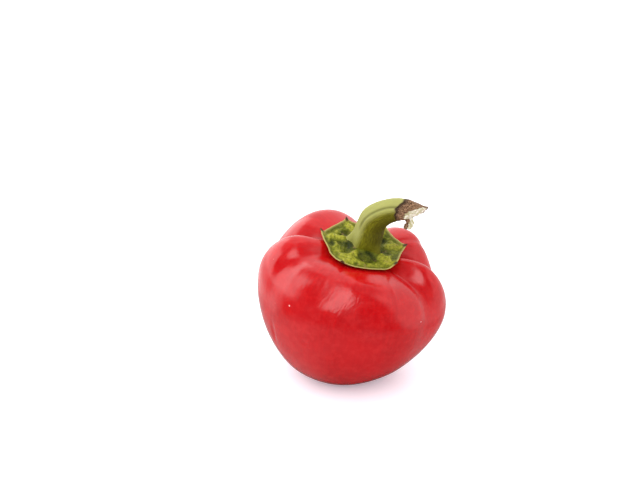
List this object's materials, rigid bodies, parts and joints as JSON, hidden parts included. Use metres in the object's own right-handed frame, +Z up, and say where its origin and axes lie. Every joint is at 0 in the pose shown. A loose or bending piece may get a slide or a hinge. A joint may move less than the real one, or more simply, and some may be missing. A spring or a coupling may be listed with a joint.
{
  "type": "bell pepper",
  "caption": "Lobed red bell pepper standing upright on its base, with a green calyx and a thick cut stem that curves over to one side.",
  "frame": {"origin": "on the floor under the middle of the fruit's outline", "axes": "+Z up, +X the side that the stem curves to, -Y the broad front lobe"},
  "size_m": [0.0686, 0.0654, 0.0738],
  "materials": {
    "skin": "smooth waxy skin, deep red and glossy",
    "calyx": "leafy green, slightly rough, with a paler dry rim",
    "stem": "fibrous olive green with a satin sheen and a dry brown cut end"
  },
  "bodies": {
    "root": {"fruit": "skin", "calyx": "calyx", "stem": "stem"}
  },
  "joints": []
}
